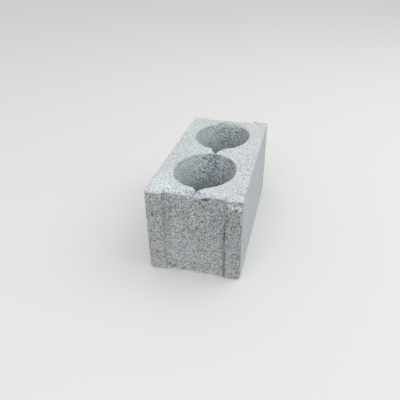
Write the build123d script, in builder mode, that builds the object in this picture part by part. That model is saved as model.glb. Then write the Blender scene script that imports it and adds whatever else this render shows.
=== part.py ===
"""Hollow concrete block with two oval cores, cast in one piece, standing on its bed face.

Millimetres. The origin is the middle of the bed face. X runs across the block's
width, Y along its length, from the near end at -Y to the far end, and Z is up.
"""

import math
import os

from build123d import *

os.makedirs("parts", exist_ok=True)

# Outer size of the block
block_length = 390.0
block_width = 190.0
block_height = 188.0
corner_radius = 2.0

# Shallow panel down the middle of each end face, between two flush strips
strip_width = 33.0
panel_depth = 7.0
panel_slope_width = 3.5

# Walls at the top, where they are thinnest, round two oval cores, and the draft
# by which each core narrows towards the bed on every side
side_wall = 33.0
end_wall = 31.0
web_thickness = 28.0
core_draft = 3.0

# Marks that the core bar leaves on the centre line: a flare at the near end of
# each core, and a slot from there through the web
mark_depth = 45.0
flare_width = 20.0
flare_length = 17.0
slot_width = 5.0

half_length = block_length / 2
half_width = block_width / 2
core_width = block_width - 2 * side_wall
core_length = (block_length - 2 * end_wall - web_thickness) / 2
core_centre = (web_thickness + core_length) / 2
flare_reach = core_length / 2 * math.sqrt(1 - (flare_width / core_width) ** 2)

with BuildPart() as concrete_block:
    # The outline on the bed: both ends alike, with their panels set back
    with BuildSketch():
        with BuildLine():
            near_half = Polyline(
                (-half_width, 0),
                (-half_width, -half_length),
                (-half_width + strip_width, -half_length),
                (-half_width + strip_width + panel_slope_width, -half_length + panel_depth),
                (half_width - strip_width - panel_slope_width, -half_length + panel_depth),
                (half_width - strip_width, -half_length),
                (half_width, -half_length),
                (half_width, 0),
            )
            mirror(near_half, about=Plane.XZ)
        make_face()
    extrude(amount=block_height)

    # The four upright corners are slightly rounded by the mould
    corners = concrete_block.edges().filter_by(Axis.Z).filter_by(
        lambda edge: math.isclose(abs(edge.center().X), half_width)
    )
    fillet(corners, radius=corner_radius)

    # The cores, a little smaller at the bed than at the top
    for core_y in (-core_centre, core_centre):
        with BuildSketch(Plane.XY):
            with Locations((0, core_y)):
                Ellipse(core_width / 2 - core_draft, core_length / 2 - core_draft)
        with BuildSketch(Plane.XY.offset(block_height)):
            with Locations((0, core_y)):
                Ellipse(core_width / 2, core_length / 2)
        loft(mode=Mode.SUBTRACT)

    # The core bar's marks, cut down from the top
    with BuildSketch(Plane.XY.offset(block_height)):
        for core_y in (-core_centre, core_centre):
            with BuildLine():
                Polyline(
                    (-flare_width / 2, core_y - flare_reach),
                    (-slot_width / 2, core_y - core_length / 2 - flare_length),
                    (slot_width / 2, core_y - core_length / 2 - flare_length),
                    (flare_width / 2, core_y - flare_reach),
                    (0, core_y),
                    close=True,
                )
            make_face()
        Rectangle(slot_width, 2 * core_centre)
    extrude(amount=-mark_depth, mode=Mode.SUBTRACT)

concrete_block.part.label = "concrete_block"
export_step(concrete_block.part, "parts/concrete_block.step")
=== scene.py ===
"""Looks of the hollow concrete block: its cast relief, worn edges and open grain.

The block is one casting, so one piece stands for it. Its surface is worked out as a
distance field round the block of the frame and meshed by Geometry Nodes. Grains of the
aggregate are strewn over that mesh as a second piece. The near end lies at -Y and the
right side at +X.
"""

import logging
import math
from dataclasses import dataclass, field, replace
from enum import Enum
from typing import Any, Optional, Union

import bpy
from mathutils import Euler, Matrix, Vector


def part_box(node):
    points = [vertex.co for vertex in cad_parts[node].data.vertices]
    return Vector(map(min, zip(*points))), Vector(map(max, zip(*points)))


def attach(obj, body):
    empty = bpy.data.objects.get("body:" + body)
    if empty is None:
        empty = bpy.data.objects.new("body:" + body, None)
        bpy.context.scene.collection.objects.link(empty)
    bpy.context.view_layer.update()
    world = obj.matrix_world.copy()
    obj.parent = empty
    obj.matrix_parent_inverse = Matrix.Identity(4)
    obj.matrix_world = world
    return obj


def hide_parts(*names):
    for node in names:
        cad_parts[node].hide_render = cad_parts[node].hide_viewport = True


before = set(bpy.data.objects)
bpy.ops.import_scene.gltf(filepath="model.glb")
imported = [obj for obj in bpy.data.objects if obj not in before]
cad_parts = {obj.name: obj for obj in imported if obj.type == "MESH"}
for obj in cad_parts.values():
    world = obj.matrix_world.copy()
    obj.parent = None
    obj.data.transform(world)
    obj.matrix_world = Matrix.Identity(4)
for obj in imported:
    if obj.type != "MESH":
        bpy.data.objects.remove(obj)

log = logging.getLogger("concrete_block")

MM = 0.001
Number = Union[float, "Value"]
Triple = tuple[float, float, float]

NO_TINT = (1.0, 1.0, 1.0)

# how far the outlines of chips and of tinted and shaded patches wander, in shares of their size
RAGGEDNESS = 0.9

# distance from the middle of a cell, in cells, out to which a lump is whole, and where it ends
LUMP_WHOLE = 0.25
LUMP_END = 0.75


def mm(x: float, y: float, z: float) -> Triple:
    """Three lengths given in millimetres, in metres."""
    return (x * MM, y * MM, z * MM)


def tinted(colour: Triple, tint: Triple) -> Triple:
    """A colour multiplied by a tint."""
    return tuple(own * share for own, share in zip(colour, tint))


class Value:
    """A socket of a node tree that can be used in plain arithmetic."""

    def __init__(self, sheet: "NodeSheet", socket: bpy.types.NodeSocket) -> None:
        """Wraps a socket.

        Args:
            sheet: the tree that the socket is in.
            socket: the output that gives the value.
        """
        self.sheet = sheet
        self.socket = socket

    def __add__(self, other: Number) -> "Value":
        """Sum of two values."""
        return self.sheet.maths("ADD", self, other)

    __radd__ = __add__

    def __sub__(self, other: Number) -> "Value":
        """Difference of two values."""
        return self.sheet.maths("SUBTRACT", self, other)

    def __rsub__(self, other: Number) -> "Value":
        """Difference of a number and this value."""
        return self.sheet.maths("SUBTRACT", other, self)

    def __mul__(self, other: Number) -> "Value":
        """Product of two values."""
        return self.sheet.maths("MULTIPLY", self, other)

    __rmul__ = __mul__

    def __truediv__(self, other: Number) -> "Value":
        """Quotient of two values."""
        return self.sheet.maths("DIVIDE", self, other)

    def __rtruediv__(self, other: Number) -> "Value":
        """Quotient of a number and this value."""
        return self.sheet.maths("DIVIDE", other, self)

    def __neg__(self) -> "Value":
        """This value with its sign turned."""
        return self.sheet.maths("MULTIPLY", self, -1.0)

    def __abs__(self) -> "Value":
        """This value without its sign."""
        return self.sheet.maths("ABSOLUTE", self)

    def __lt__(self, other: Number) -> "Value":
        """1 where this value is less than the other, else 0."""
        return self.sheet.maths("LESS_THAN", self, other)

    def __gt__(self, other: Number) -> "Value":
        """1 where this value is greater than the other, else 0."""
        return self.sheet.maths("GREATER_THAN", self, other)

    def least(self, other: Number, blend: float = 0.0) -> "Value":
        """The smaller of two values.

        Args:
            other: the value that it is compared with.
            blend: width over which the two are rounded into each other.

        Returns:
            The smaller value.
        """
        if blend:
            return self.sheet.maths("SMOOTH_MIN", self, other, blend)
        return self.sheet.maths("MINIMUM", self, other)

    def most(self, other: Number, blend: float = 0.0) -> "Value":
        """The larger of two values.

        Args:
            other: the value that it is compared with.
            blend: width over which the two are rounded into each other.

        Returns:
            The larger value.
        """
        if blend:
            return self.sheet.maths("SMOOTH_MAX", self, other, blend)
        return self.sheet.maths("MAXIMUM", self, other)

    def root(self) -> "Value":
        """Square root of this value."""
        return self.sheet.maths("SQRT", self)

    def power(self, exponent: float) -> "Value":
        """This value raised to a power."""
        return self.sheet.maths("POWER", self, exponent)

    def ramp(self, start: Number, end: Number, low: Number = 0.0, high: Number = 1.0) -> "Value":
        """Runs smoothly from one value to another as this one goes from start to end.

        Args:
            start: where the ramp begins.
            end: where the ramp ends; it may be less than start.
            low: the result at start.
            high: the result at end.

        Returns:
            The ramped value, held at low and high outside the ramp.
        """
        made = self.sheet.add(
            "ShaderNodeMapRange",
            {"interpolation_type": "SMOOTHSTEP"},
            {"Value": self, "From Min": start, "From Max": end, "To Min": low, "To Max": high},
        )
        return made["Result"]

    def mix(self, below: Any, above: Any) -> "Value":
        """Lays one colour over another, as strongly as this value says.

        Args:
            below: the lower colour.
            above: the upper colour.

        Returns:
            The colour.
        """
        solid = [value if isinstance(value, Value) else (*value, 1.0) for value in (below, above)]
        sockets = {"Factor": self, "A": solid[0], "B": solid[1]}
        return self.sheet.add("ShaderNodeMix", {"data_type": "RGBA"}, sockets)["Result"]

    def times(self, other: Any) -> "Value":
        """This colour or vector multiplied by another, part by part."""
        return self.sheet.vector("MULTIPLY", "Vector", self, other)

    def moved(self, offset: Triple) -> "Value":
        """This place moved by an offset."""
        return self.sheet.vector("ADD", "Vector", self, offset)

    def measured(self, middle: Triple, size: Triple) -> "Value":
        """This place measured from a middle, in shares of a size along each axis."""
        apart = self.moved(tuple(-v for v in middle))
        return apart.times(tuple(1.0 / v for v in size))

    def split(self) -> tuple["Value", "Value", "Value"]:
        """The three coordinates of this place."""
        made = self.sheet.add("ShaderNodeSeparateXYZ", {}, {"Vector": self})
        return made["X"], made["Y"], made["Z"]

    def texture(self, pattern: "Pattern") -> "Made":
        """Reads a soft random pattern at this place.

        Args:
            pattern: the pattern.

        Returns:
            The node, whose first output is the pattern and whose Color holds three more.
        """
        lumps = pattern.value
        sockets = {"Vector": self.moved(lumps.offset), "Scale": 1.0 / lumps.size,
                   "Detail": lumps.detail, "Roughness": lumps.rough}
        return self.sheet.add("ShaderNodeTexNoise", {"noise_dimensions": "3D"}, sockets)

    def noise(self, pattern: "Pattern") -> "Value":
        """A soft random pattern about 0.5 at this place."""
        return self.sheet.first(self.texture(pattern))

    def sway(self, pattern: "Pattern") -> "Value":
        """A soft random pattern about 0 at this place."""
        return self.noise(pattern) - 0.5

    def cells(self, size: float, offset: Triple = (0.0, 0.0, 0.0)) -> "Made":
        """Reads a pattern of solid cells at this place.

        Args:
            size: mean distance between cells.
            offset: moves the pattern, so that two of a size differ.

        Returns:
            The node, with the Distance to the nearest cell's middle and a Color for each cell.
        """
        sockets = {"Vector": self.moved(offset), "Scale": 1.0 / size}
        return self.sheet.add("ShaderNodeTexVoronoi", {"feature": "F1"}, sockets)

    def gaps(self, size: float) -> "Value":
        """The gaps between cells: 0 in the middle of a cell to 1 between them."""
        return self.cells(size)["Distance"].ramp(LUMP_WHOLE, LUMP_END)


class Made:
    """A node that was added, whose outputs are read by name."""

    def __init__(self, sheet: "NodeSheet", node: bpy.types.Node) -> None:
        """Wraps a node.

        Args:
            sheet: the tree that the node is in.
            node: the node.
        """
        self.sheet = sheet
        self.node = node

    def __getitem__(self, name: str) -> Value:
        """Finds a live output.

        Args:
            name: the output's name.

        Returns:
            Its value.

        Raises:
            KeyError: the node has no live output of that name.
        """
        for socket in self.node.outputs:
            if socket.name == name and socket.enabled:
                return Value(self.sheet, socket)
        raise KeyError(f"{self.node.bl_idname} has no output {name}")


@dataclass(frozen=True)
class Lumps:
    """A soft random pattern, which runs from about 0.2 to 0.8.

    Args:
        size: size of its lumps.
        detail: octaves that are added.
        rough: how strong the finer octaves are.
        offset: what is added to a place before the pattern is read there.
    """

    size: float
    detail: float = 2.0
    rough: float = 0.5
    offset: Triple = (0.0, 0.0, 0.0)


class Pattern(Enum):
    """The soft random patterns, each moved so that no two of a size line up."""

    CRUMBS = Lumps(7.0 * MM, 3.0, 0.6)
    EDGE_BITES = Lumps(17.0 * MM, offset=(0.7, 0.1, 0.3))
    SLUMP_LUMPS = Lumps(7.0 * MM, rough=0.55, offset=(0.1, 0.5, 0.8))
    SLOT_CRUMBS = Lumps(5.5 * MM, rough=0.6, offset=(0.4, 0.2, 0.6))
    CHIP_EDGES = Lumps(5.0 * MM)
    SKIN_EDGES = Lumps(6.0 * MM)
    PORE_CROWDS = Lumps(24.0 * MM, offset=(0.2, 0.9, 0.4))
    OPEN_GRAIN = Lumps(3.0 * MM, 2.5, 0.6)
    SWELL = Lumps(38.0 * MM, 1.0)
    GRAIN_SHAKE = Lumps(2.6 * MM, 1.0)
    FINE_TONE = Lumps(1.5 * MM, rough=0.7)
    WIDE_TONE = Lumps(30.0 * MM, rough=0.6)
    BLOTCHES = Lumps(8.0 * MM, 1.0, offset=(0.9, 0.2, 0.5))
    TINTS = Lumps(42.0 * MM, offset=(0.3, 0.6, 0.2))
    # patches of the painted shade at the edges of the end panels
    EDGE_SHADING = Lumps(22.0 * MM, 3.0, 0.6, offset=(0.5, 0.3, 0.1))
    SAND = Lumps(1.6 * MM, 3.0, 0.65)


class NodeSheet:
    """A node tree, shader or geometry, that is drawn up one node at a time."""

    def __init__(self, tree: bpy.types.NodeTree) -> None:
        """Starts on a tree.

        Args:
            tree: the tree that the nodes are added to.
        """
        self.tree = tree

    def add(self, kind: str, settings: Optional[dict[str, Any]] = None,
            sockets: Optional[dict[Any, Any]] = None) -> Made:
        """Adds a node.

        Args:
            kind: the node's type.
            settings: the node's own settings, set first.
            sockets: values or links of its inputs, by name or by number.

        Returns:
            The node, with its outputs by name.
        """
        node = self.tree.nodes.new(kind)
        for name, value in (settings or {}).items():
            setattr(node, name, value)
        for key, value in (sockets or {}).items():
            self.feed(self.input(node, key), value)
        return Made(self, node)

    def input(self, node: bpy.types.Node, key: Union[str, int]) -> bpy.types.NodeSocket:
        """Finds a live input.

        Args:
            node: the node.
            key: the input's name or number.

        Returns:
            The input socket.
        """
        if isinstance(key, int):
            return node.inputs[key]
        return next(socket for socket in node.inputs if socket.name == key and socket.enabled)

    def feed(self, socket: bpy.types.NodeSocket, value: Any) -> None:
        """Links or sets an input.

        Args:
            socket: the input.
            value: a Value to link, or a constant.
        """
        if isinstance(value, Value):
            self.tree.links.new(value.socket, socket)
        else:
            socket.default_value = value

    def first(self, made: Made) -> Value:
        """The first output of a node."""
        return Value(self, made.node.outputs[0])

    def maths(self, operation: str, *operands: Number) -> Value:
        """Adds a Math node.

        Args:
            operation: the node's operation.
            operands: its operands, in order.

        Returns:
            Its result.
        """
        made = self.add("ShaderNodeMath", {"operation": operation}, dict(enumerate(operands)))
        return made["Value"]

    def vector(self, operation: str, output: str, *operands: Any) -> Value:
        """Adds a Vector Math node.

        Args:
            operation: the node's operation.
            output: "Vector" or "Value".
            operands: its vectors, in order.

        Returns:
            Its result.
        """
        made = self.add("ShaderNodeVectorMath", {"operation": operation}, dict(enumerate(operands)))
        return made[output]

    def scaled(self, vector: Any, amount: Value) -> Value:
        """A vector or colour multiplied by an amount."""
        sockets = {"Vector": vector, "Scale": amount}
        return self.add("ShaderNodeVectorMath", {"operation": "SCALE"}, sockets)["Vector"]


@dataclass(frozen=True)
class Fade:
    """A smooth change from one amount to another.

    Args:
        start: where it begins.
        end: where it is complete; it may be less than start.
        low: the amount before it.
        high: the amount after it.
    """

    start: float
    end: float
    low: float = 0.0
    high: float = 1.0

    def at(self, where: Value) -> Value:
        """The amount at a place."""
        return where.ramp(self.start, self.end, self.low, self.high)


@dataclass(frozen=True)
class Pores:
    """Open pores between the grains of a cast face.

    Each is a hollow about the middle of some of the cells of a solid cell pattern.

    Args:
        cell: mean distance between cells.
        share: share of the cells that hold a pore.
        radius: largest radius of a pore.
        offset: moves the pattern, so that two layers of pores differ.
        smallest: radius of the smallest pores, as a share of the largest.
        slope: share of a pore's radius over which its wall slopes.
    """

    cell: float
    share: float
    radius: float
    offset: Triple
    smallest: float = 0.5
    slope: float = 0.7

    def hollow(self, place: Value, crowd: Value) -> Value:
        """How far into a pore a place is.

        Args:
            place: where it is read.
            crowd: raises or lowers the share of pores from place to place.

        Returns:
            0 outside the pores to 1 in the middle of one.
        """
        cells = place.cells(self.cell, self.offset)
        chance, size, _ = cells["Color"].split()
        reach = (size * (1.0 - self.smallest) + self.smallest) * (self.radius / self.cell)
        inside = (1.0 - cells["Distance"] / reach).ramp(0.0, self.slope)
        return inside * (chance < crowd * self.share)


@dataclass(frozen=True)
class Chip:
    """A piece broken out of the surface.

    Args:
        place: its middle.
        size: its half width, half depth and half height.
    """

    place: Triple
    size: Triple

    def outside(self, place: Value) -> Value:
        """How far a place is outside the chip: -1 at its middle and 0 at its edge."""
        apart = place.measured(self.place, self.size)
        return place.sheet.vector("LENGTH", "Value", apart) - 1.0


@dataclass(frozen=True)
class StainAndShadow(Chip):
    """A patch of the surface with a colour of its own; a few dark ones are painted shadow.

    Args:
        tint: what the colour is multiplied by in its middle.
        onset: how it sets in, by how far a place is outside it.
    """

    tint: Triple
    onset: Fade = Fade(0.25, -0.35)

    def share(self, place: Value) -> Value:
        """How much of the patch shows at a place, from 0 to 1."""
        ragged = place.sway(Pattern.SKIN_EDGES) * RAGGEDNESS
        return self.onset.at(self.outside(place) + ragged)


@dataclass(frozen=True)
class Flare:
    """The mark where the core bar runs out of a core, towards the near end.

    Args:
        core: the core that it belongs to, -1 for the near one and 1 for the far one.
        shift: how far its tip lies to the right of the centre line.
        left: how far it reaches to the left of its tip, where it leaves the core.
        right: how far it reaches to the right there.
        bulge: how its left side runs to the tip: straight at 1, fuller when less.
        length: how far it reaches out of the core.
        hollowness: how its right side runs to the tip: straight at 1, hollower when more.
        left_root: where its left side stops widening inside the core, in lengths from the tip.
        right_root: where its right side stops widening there.
    """

    core: int
    shift: float
    left: float
    right: float
    bulge: float
    length: float
    hollowness: float = 1.7
    left_root: float = 2.0
    right_root: float = 1.3

    def outside(self, x: Value, ahead: Value, core_half_length: float) -> Value:
        """How far a place is outside the flare, whatever its height.

        Args:
            x: coordinate across the block.
            ahead: distance from the core's middle, towards the near end.
            core_half_length: half of the core's length.

        Returns:
            The distance, negative inside the flare.
        """
        run = (ahead - core_half_length) / self.length
        rest = (1.0 - run).least(self.left_root).most(0.0)
        to_left = self.shift - x - rest.power(self.bulge) * self.left
        to_right = x - self.shift - rest.least(self.right_root).power(self.hollowness) * self.right
        shape = to_left.most(to_right).most(ahead - core_half_length - self.length)
        return shape.most(-ahead)


@dataclass(frozen=True)
class Slump:
    """A stretch of an edge, above the core bar, that has crumbled away.

    Args:
        side: -1 for the near half of the block and 1 for the far half.
        start: how far from the block's middle it starts, along the block.
        middle: its middle, across the block.
        reach: half of its length; it fades out over the outer half of that.
        depth: how deep it goes.
        onset: over how far it sets in, along the block.
    """

    side: int
    start: float
    middle: float
    reach: float
    depth: float
    onset: float = 5.0 * MM

    def share(self, place: Value) -> Value:
        """How much a place lies in this stretch.

        Args:
            place: the place.

        Returns:
            The share, from 0 to 1.
        """
        x, y, _ = place.split()
        across = abs(x - self.middle).ramp(self.reach, 0.5 * self.reach)
        return across * (y * float(self.side)).ramp(self.start, self.start + self.onset)


@dataclass(frozen=True)
class Wear:
    """How deep an edge has worn.

    Args:
        least: depth that has gone everywhere.
        gaps: further depth between the lumps that are left.
        crumbs: further depth where crumbs have come off.
        bites: further depth where larger bites have come out.
    """

    least: float
    gaps: float = 0.0
    crumbs: float = 0.0
    bites: float = 0.0

    def depth(self, gap: Value, crumb: Value, bite: Value) -> Value:
        """The depth that has gone at a place.

        Args:
            gap: how much the place lies between lumps, from 0 to 1.
            crumb: how much it lies where crumbs have come off.
            bite: how much it lies in a larger bite.

        Returns:
            The depth.
        """
        depth = self.least
        for share, amount in ((gap, self.gaps), (crumb, self.crumbs), (bite, self.bites)):
            if amount:
                depth = share * amount + depth
        return depth


class Face(Enum):
    """The kinds of cast surface on the block."""

    END = "end"
    CORE = "core"
    TOP = "top"
    SIDE = "side"


@dataclass
class Distances:
    """How far a place is outside each plane or hollow of the block, negative inside.

    Args:
        side: distance to the nearer long side.
        end: distance to the nearer end, with its panel.
        top: distance to the top face.
        bed: distance to the bed face.
        hollow: distance to the cores and the core bar's marks.
    """

    side: Value
    end: Value
    top: Value
    bed: Value
    hollow: Value


@dataclass
class ConcreteBlock:
    """The block, with the sizes of its parts in metres.

    The overall size comes from the frame. The rest follow the part's own sizes.

    Args:
        node: the frame's node that the casting stands for.
        strip_width: width of the strips beside each end panel.
        panel_depth: how far each end panel is set back.
        panel_slope_width: width of the slope at each side of a panel.
        side_wall, end_wall, web_thickness: thickness of the walls at the top.
        core_draft: how much a core narrows on each side, from the top to the bed.
        least_steepness: keeps a division from failing in the middle of a core.
        mark_depth: how deep the core bar's marks go.
        mark_shift: how far the slot lies to the right of the centre line.
        mark_blend: width over which the marks are rounded into the cores.
        slot_opening: half of the slot's open width, by how loose its crumbs are.
        slot_lid: thickness of the crust that closes the slot at the top.
        flares: the marks at the near end of each core.
        near_slump, far_slump: the crumbled stretches of the near top edge and the far rim.
        slump_lumps: how unevenly those have crumbled.
        foot_height, foot_across: where the lumps on a panel's foot end, by height and by the
            distance from the block's middle across it.
        foot_depth: how far out they stand.
        foot_lump, edge_lump, grain: size of those lumps, of the ones on the edges and of a grain.
        foot_offset: moves the pattern of the foot's lumps.
        end_top, end_bed, side_top, side_bed, corner, rim_bed: wear of each kind of edge.
        least_rim, rim_crumbs: wear of the cores' upper rims, and its part that is uneven.
        left_rim_crumbs, web_rim_crumbs: what comes to it on their left sides and at the web.
        left_rims: where their left sides begin, across the block.
        web_rims, web_rims_left: where the web's share begins, along and across the block.
        skin_wave, skin_and_highlight_over_end, skin_over_rim, skin_over_side: how far the top's closed
        skin, and its
            colour, reaches down unevenly, and over the ends, the rims and the sides; over the ends
            that paler colour is also a painted highlight on the worn top edge.
        skin_and_highlight_at_end, skin_at_rim: where it begins to reach down over the ends and the
            rims, by the distance from the outer faces.
        skin_over_slump: how far it reaches down a slump, in depths of the slump.
        top_face, end_face, side_face: where each kind of surface sets in, by the distance from
            its plane.
        side_end: where the sides give way to the ends, by the distance from the ends.
        core_face: where the cores' walls set in, by the distance from the outer faces.
        left_core_openness, right_core_openness: how open the cores' walls are, where an end
            face is 1, by the place across the block.
        top_openness, side_openness: how open those faces are.
        track_beside, track_above, track_along: where the slot's loose fill ends beside the
            slot, at the foot of the marks and along the block.
        track_crowd: how much more crowded the pores are in that fill.
        pore_crowds: how crowded the pores are, by their pattern.
        coarse_depth, fine_depth: depth of the pores.
        grain_depth, gap_depth: depth of the open grain, and between its grains.
        grain_onset: where the open grain is missing, in its pattern.
        swell_depth: how far the faces swell and sink.
        swell_onset: where they sink, in their pattern.
        crumb_onset, bite_onset: where crumbs and bites have come off, in their patterns.
        edge_blend: width over which the worn edges are rounded.
        grid: spacing of the grid that the casting is meshed on.
        margin: how far that grid reaches past the block.
        most_triangles: the most triangles that the casting may keep.
        coarse_pores, fine_pores, pin_pores: the pores; pin pores are painted shade only.
        chips: the pieces broken off the edges.
        pits: the large pits.
        pit_shade_onset: how the painted shade in them sets in, by how far a place is outside them.
        fresh_chip: the chip that shows fresh, pale concrete.
        low, high: lowest and highest corner of the block's box, from the frame.
    """

    node: str = "concrete_block"
    strip_width: float = 33.0 * MM
    panel_depth: float = 7.0 * MM
    panel_slope_width: float = 3.5 * MM
    side_wall: float = 33.0 * MM
    end_wall: float = 31.0 * MM
    web_thickness: float = 28.0 * MM
    core_draft: float = 3.0 * MM
    least_steepness: float = 0.01
    mark_depth: float = 45.0 * MM
    mark_shift: float = 4.0 * MM
    mark_blend: float = 1.5 * MM
    slot_opening: Fade = Fade(0.60, 0.74, low=-1.5 * MM, high=2.5 * MM)
    slot_lid: float = 6.0 * MM
    flares: tuple[Flare, Flare] = (
        Flare(core=-1, shift=4.0 * MM, left=9.2 * MM, right=11.5 * MM, bulge=1.1, length=15.5 * MM),
        Flare(core=1, shift=3.8 * MM, left=13.0 * MM, right=11.5 * MM, bulge=0.65, length=24.0 * MM),
    )
    near_slump: Slump = Slump(
        side=-1, start=174.0 * MM, middle=-1.0 * MM, reach=26.0 * MM, depth=7.0 * MM)
    far_slump: Slump = Slump(
        side=1, start=115.0 * MM, middle=1.0 * MM, reach=42.0 * MM, depth=12.0 * MM)
    slump_lumps: Fade = Fade(0.3, 0.7, low=0.45, high=1.0)
    foot_height: Fade = Fade(9.0 * MM, 4.0 * MM)
    foot_across: Fade = Fade(62.0 * MM, 56.0 * MM)
    foot_depth: float = 6.0 * MM
    foot_lump: float = 12.5 * MM
    foot_offset: Triple = (0.0, 0.0, 0.3)
    edge_lump: float = 9.0 * MM
    grain: float = 3.4 * MM
    end_top: Wear = Wear(least=2.6 * MM, crumbs=2.6 * MM, bites=1.5 * MM)
    end_bed: Wear = Wear(least=0.6 * MM, gaps=2.6 * MM, crumbs=1.2 * MM)
    side_top: Wear = Wear(least=1.5 * MM, crumbs=1.8 * MM)
    side_bed: Wear = Wear(least=1.0 * MM, gaps=2.0 * MM, bites=2.0 * MM)
    corner: Wear = Wear(least=0.6 * MM, crumbs=1.2 * MM, bites=1.4 * MM)
    rim_bed: Wear = Wear(least=1.5 * MM, crumbs=3.0 * MM)
    least_rim: float = 0.8 * MM
    rim_crumbs: float = 1.5 * MM
    left_rim_crumbs: float = 3.3 * MM
    web_rim_crumbs: float = 1.6 * MM
    left_rims: Fade = Fade(-20.0 * MM, -50.0 * MM)
    web_rims: Fade = Fade(34.0 * MM, 18.0 * MM)
    web_rims_left: Fade = Fade(22.0 * MM, 8.0 * MM)
    skin_wave: float = 3.0 * MM
    skin_and_highlight_over_end: Fade = Fade(74.0 * MM, 60.0 * MM, low=1.2 * MM, high=4.0 * MM)
    skin_over_rim: float = 4.0 * MM
    skin_over_side: Fade = Fade(-5.0 * MM, -1.0 * MM, high=1.5 * MM)
    skin_and_highlight_at_end: Fade = Fade(-12.0 * MM, -6.0 * MM)
    skin_at_rim: Fade = Fade(-14.0 * MM, -20.0 * MM)
    skin_over_slump: float = 1.15
    top_face: Fade = Fade(-2.4 * MM, 0.2 * MM)
    end_face: Fade = Fade(-6.0 * MM, -3.0 * MM)
    side_face: Fade = Fade(-2.0 * MM, -0.6 * MM)
    side_end: Fade = Fade(-1.0 * MM, -3.0 * MM)
    core_face: Fade = Fade(-18.0 * MM, -22.0 * MM)
    left_core_openness: Fade = Fade(-50.0 * MM, -8.0 * MM, low=0.4, high=1.1)
    right_core_openness: Fade = Fade(20.0 * MM, 50.0 * MM, low=1.0, high=0.62)
    top_openness: float = 0.30
    side_openness: float = 0.20
    track_beside: Fade = Fade(12.0 * MM, 5.0 * MM)
    track_above: Fade = Fade(-8.0 * MM, 8.0 * MM)
    track_along: Fade = Fade(45.0 * MM, 30.0 * MM)
    track_crowd: float = 0.4
    pore_crowds: Fade = Fade(0.35, 0.65, low=0.55, high=1.5)
    coarse_depth: float = 2.6 * MM
    fine_depth: float = 1.9 * MM
    grain_depth: float = 0.8 * MM
    gap_depth: float = 1.0 * MM
    grain_onset: Fade = Fade(0.40, 0.75)
    swell_depth: float = 0.4 * MM
    swell_onset: Fade = Fade(0.3, 0.7)
    crumb_onset: Fade = Fade(0.35, 0.75)
    bite_onset: Fade = Fade(0.56, 0.72)
    edge_blend: float = 0.5 * MM
    grid: float = 1.3 * MM
    margin: float = 4.0 * MM
    most_triangles: int = 196000
    coarse_pores: Pores = Pores(cell=8.5 * MM, share=0.30, radius=2.9 * MM, offset=(0.31, 0.17, 0.05))
    fine_pores: Pores = Pores(cell=4.4 * MM, share=0.42, radius=2.1 * MM, offset=(0.0, 0.4, 0.2))
    pin_pores: Pores = Pores(cell=2.9 * MM, share=0.45, radius=1.5 * MM, offset=(0.6, 0.0, 0.7))
    chips: tuple[Chip, ...] = (
        # off the foot of the near end
        Chip(mm(-45.5, -188, -1), mm(7.6, 16, 8.6)),
        Chip(mm(-24.5, -188, -1), mm(5.4, 16, 6.8)),
        Chip(mm(22, -188, -1), mm(4.6, 14, 5)),
        Chip(mm(49.5, -188, -1), mm(5.4, 16, 7.4)),
        Chip(mm(96.5, -196.5, -1), mm(8, 9, 7.5)),
        # under the near slump
        Chip(mm(22.5, -186.5, 175.6), mm(6.2, 8, 3)),
        # off the near core's left rim
        Chip(mm(-56.5, -127, 190.5), mm(6.5, 17, 5.5)),
        # off the far rim and the far top edge
        Chip(mm(9, 168, 188), mm(5, 7, 6)),
        Chip(mm(3, 191, 189), mm(6, 7, 7)),
    )
    pits: tuple[Chip, ...] = (
        # in the near end's panel
        Chip(mm(12.6, -188, 168.5), mm(2.2, 4.5, 2.8)),
        Chip(mm(4, -188, 169.5), mm(2.6, 4, 2.2)),
        Chip(mm(16.7, -188, 126), mm(3.2, 5, 2.4)),
        Chip(mm(5.6, -188, 110), mm(2, 4.5, 3.6)),
        Chip(mm(29.5, -188, 105), mm(3, 4, 2.4)),
        Chip(mm(19.5, -188, 82), mm(3.6, 4, 2)),
        Chip(mm(-21.5, -188, 142), mm(2.2, 4, 2.8)),
        Chip(mm(-47.5, -188, 148), mm(4, 4, 2)),
        Chip(mm(-32.5, -188, 61), mm(2.6, 4, 2.8)),
        # in its left strip
        Chip(mm(-81.2, -195, 134.2), mm(2.4, 4.5, 3)),
        # in its right strip
        Chip(mm(82, -195.5, 163.2), mm(3, 6.5, 2.9)),
        Chip(mm(87.7, -195.5, 137.3), mm(2, 5, 3.4)),
        Chip(mm(72.7, -195, 155.8), mm(2, 4, 2.2)),
        Chip(mm(90.2, -195, 61.5), mm(2.4, 4, 2.6)),
        Chip(mm(86.6, -195, 52), mm(2.6, 4, 2.4)),
        Chip(mm(78, -195, 60.5), mm(2, 3.8, 2.4)),
        Chip(mm(82.4, -195, 28.7), mm(2.2, 3.8, 2.6)),
        Chip(mm(88.4, -195, 17.3), mm(2.6, 4, 2.8)),
        # down its right edge
        Chip(mm(92.8, -195.5, 131.5), mm(2.6, 3.6, 2.6)),
        Chip(mm(93.8, -195, 116.5), mm(2.8, 3.4, 2.6)),
        Chip(mm(93.4, -195, 100.5), mm(3, 3.6, 2.8)),
        Chip(mm(93.4, -195, 83), mm(3.2, 3.6, 2.8)),
        # by the near flare
        Chip(mm(-3.2, -167.6, 184.5), mm(2.6, 3.6, 4.5)),
    )
    # painted shade in the large pits
    pit_shade_onset: Fade = Fade(0.10, -0.40)
    fresh_chip: StainAndShadow = StainAndShadow(mm(86.5, -196.5, 169.4), mm(7, 5, 4.8), tint=(2.0, 1.9, 1.9))
    low: Vector = field(init=False)
    high: Vector = field(init=False)

    def __post_init__(self) -> None:
        """Reads the block's box from the frame."""
        low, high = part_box(self.node)
        self.low, self.high = Vector(low), Vector(high)

    @property
    def half_width(self) -> float:
        """Half of the block's width."""
        return (self.high.x - self.low.x) / 2

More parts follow.
